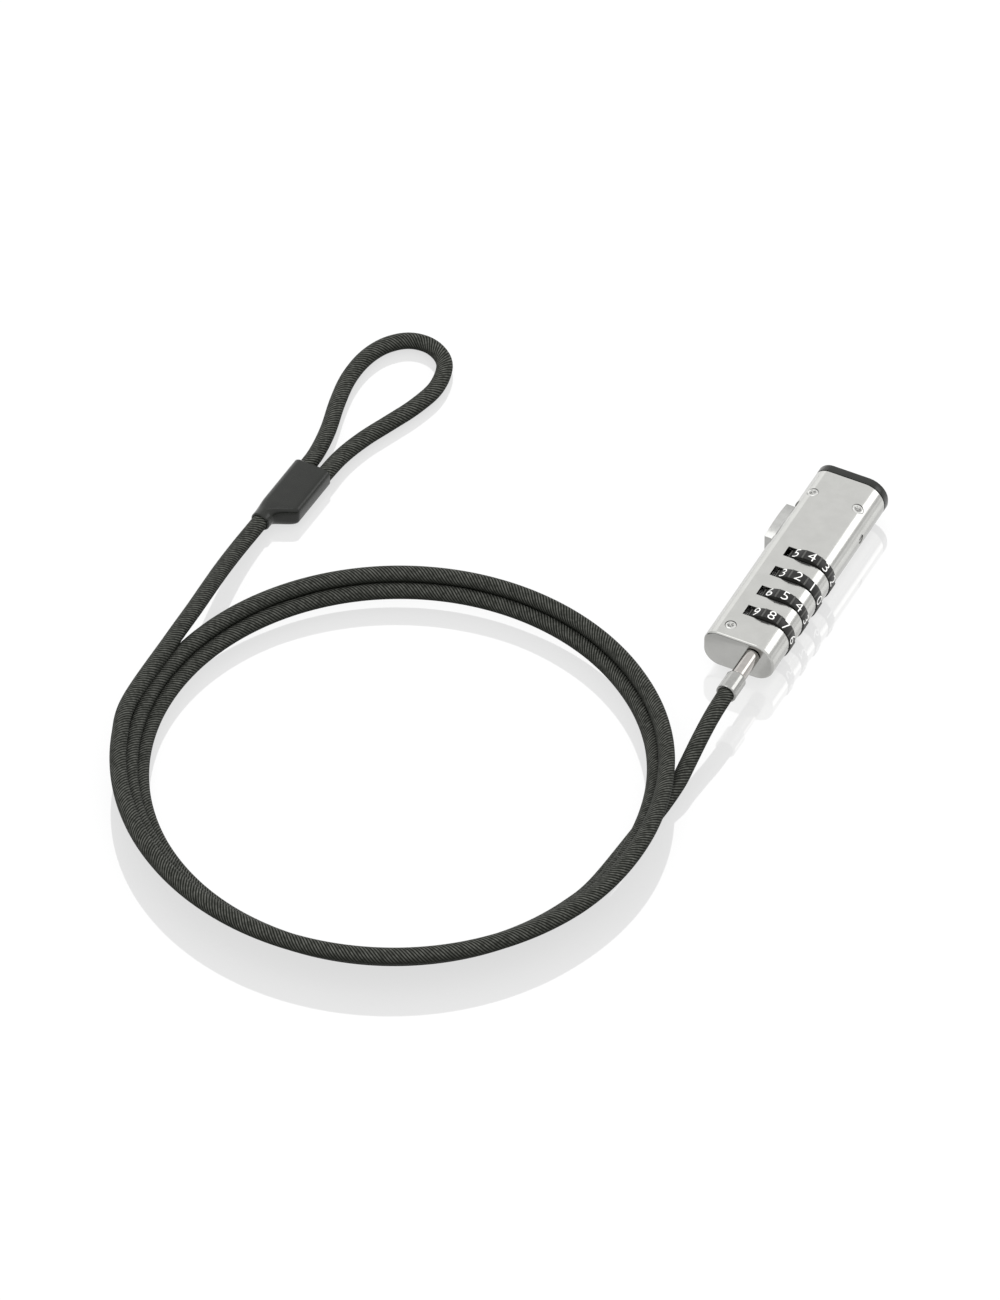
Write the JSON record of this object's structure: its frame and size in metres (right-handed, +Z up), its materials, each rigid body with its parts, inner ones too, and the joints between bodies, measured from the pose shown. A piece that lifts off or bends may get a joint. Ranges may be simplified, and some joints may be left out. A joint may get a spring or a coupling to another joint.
{
  "type": "combination laptop cable lock",
  "caption": "Combination cable lock: narrow metal head with number dials, side button and nose claws, swivel stem, coiled jacketed steel cable and looped anchor end.",
  "frame": {"origin": "middle of the lock head's bounding box, claws and button included, at the height of the surface it stands on", "axes": "+Y along the head from its cable end to its nose, +X towards the side the dials come through, +Z up through the face with the readable digits"},
  "size_m": [0.1641, 0.2389, 0.0159],
  "materials": {
    "housing_metal": "satin",
    "bright_metal": "gloss",
    "dark_steel": "satin",
    "brass": "satin",
    "black_plastic": "satin",
    "cable_jacket": "satin"
  },
  "bodies": {
    "cable": {"cable_lead": "cable_jacket", "cable_coil": "cable_jacket", "cable_tail": "cable_jacket", "cable_eye": "cable_jacket", "loop_sleeve": "black_plastic", "ferrule": "bright_metal", "swivel_stem": "bright_metal", "stem_clip": "bright_metal"},
    "lock": {"housing": "housing_metal", "nose_cap": "black_plastic", "latch_block": "dark_steel", "nose_pin_left": "bright_metal", "nose_pin_right": "bright_metal", "tail_pin": "bright_metal", "rear_plate": "dark_steel", "front_plate": "dark_steel", "detent_spring": "bright_metal", "button_spring": "bright_metal", "spindle_spring": "bright_metal", "claw_spring_left": "bright_metal", "claw_spring_right": "bright_metal"},
    "first_dial": {"dial_1": "black_plastic", "code_sleeve_1": "brass"},
    "second_dial": {"dial_2": "black_plastic", "code_sleeve_2": "brass"},
    "third_dial": {"dial_3": "black_plastic", "code_sleeve_3": "brass"},
    "fourth_dial": {"dial_4": "black_plastic", "code_sleeve_4": "brass"},
    "code_setting_screw": {"setting_screw": "bright_metal"},
    "push_button": {"button": "bright_metal"},
    "latch_slide": {"spindle": "bright_metal", "spreader": "dark_steel"},
    "left_claw": {"claw_left": "bright_metal"},
    "right_claw": {"claw_right": "bright_metal"}
  },
  "joints": [
    {"name": "lock_swivel", "type": "hinge", "parent": "cable", "child": "lock", "pos_m": [0.00535, -0.03877, 0.01076], "axis": [0, 1, 0], "continuous": true},
    {"name": "dial_1_turn", "type": "hinge", "parent": "lock", "child": "first_dial", "pos_m": [0.00415, -0.02678, 0.00796], "axis": [0, 1, 0], "continuous": true},
    {"name": "dial_2_turn", "type": "hinge", "parent": "lock", "child": "second_dial", "pos_m": [0.00415, -0.01819, 0.00796], "axis": [0, 1, 0], "continuous": true},
    {"name": "dial_3_turn", "type": "hinge", "parent": "lock", "child": "third_dial", "pos_m": [0.00415, -0.00962, 0.00796], "axis": [0, 1, 0], "continuous": true},
    {"name": "dial_4_turn", "type": "hinge", "parent": "lock", "child": "fourth_dial", "pos_m": [0.00415, -0.00103, 0.00796], "axis": [0, 1, 0], "continuous": true},
    {"name": "setting_screw_turn", "type": "hinge", "parent": "lock", "child": "code_setting_screw", "pos_m": [0.01145, 0.01773, 0.00866], "axis": [1, 0, 0], "range_deg": [0, 90]},
    {"name": "button_press", "type": "slide", "parent": "lock", "child": "push_button", "axis": [1, 0, 0], "range_m": [0, 0.002], "stiffness_N_per_m": 1200, "springref_m": -0.0015, "deforming": ["button_spring"]},
    {"name": "latch_pull", "type": "slide", "parent": "lock", "child": "latch_slide", "axis": [0, -1, 0], "range_m": [0, 0.0012], "deforming": ["spindle_spring"]},
    {"name": "left_claw_close", "type": "slide", "parent": "lock", "child": "left_claw", "axis": [1, 0, 0], "range_m": [0, 0.0009], "deforming": ["claw_spring_left"]},
    {"name": "right_claw_close", "type": "slide", "parent": "lock", "child": "right_claw", "axis": [-1, 0, 0], "range_m": [0, 0.0009], "deforming": ["claw_spring_right"]}
  ],
  "couplings": [
    {"joint": "latch_pull", "follows": "button_press", "ratio": 0.6},
    {"joint": "left_claw_close", "follows": "button_press", "ratio": 0.45},
    {"joint": "right_claw_close", "follows": "button_press", "ratio": 0.45}
  ]
}
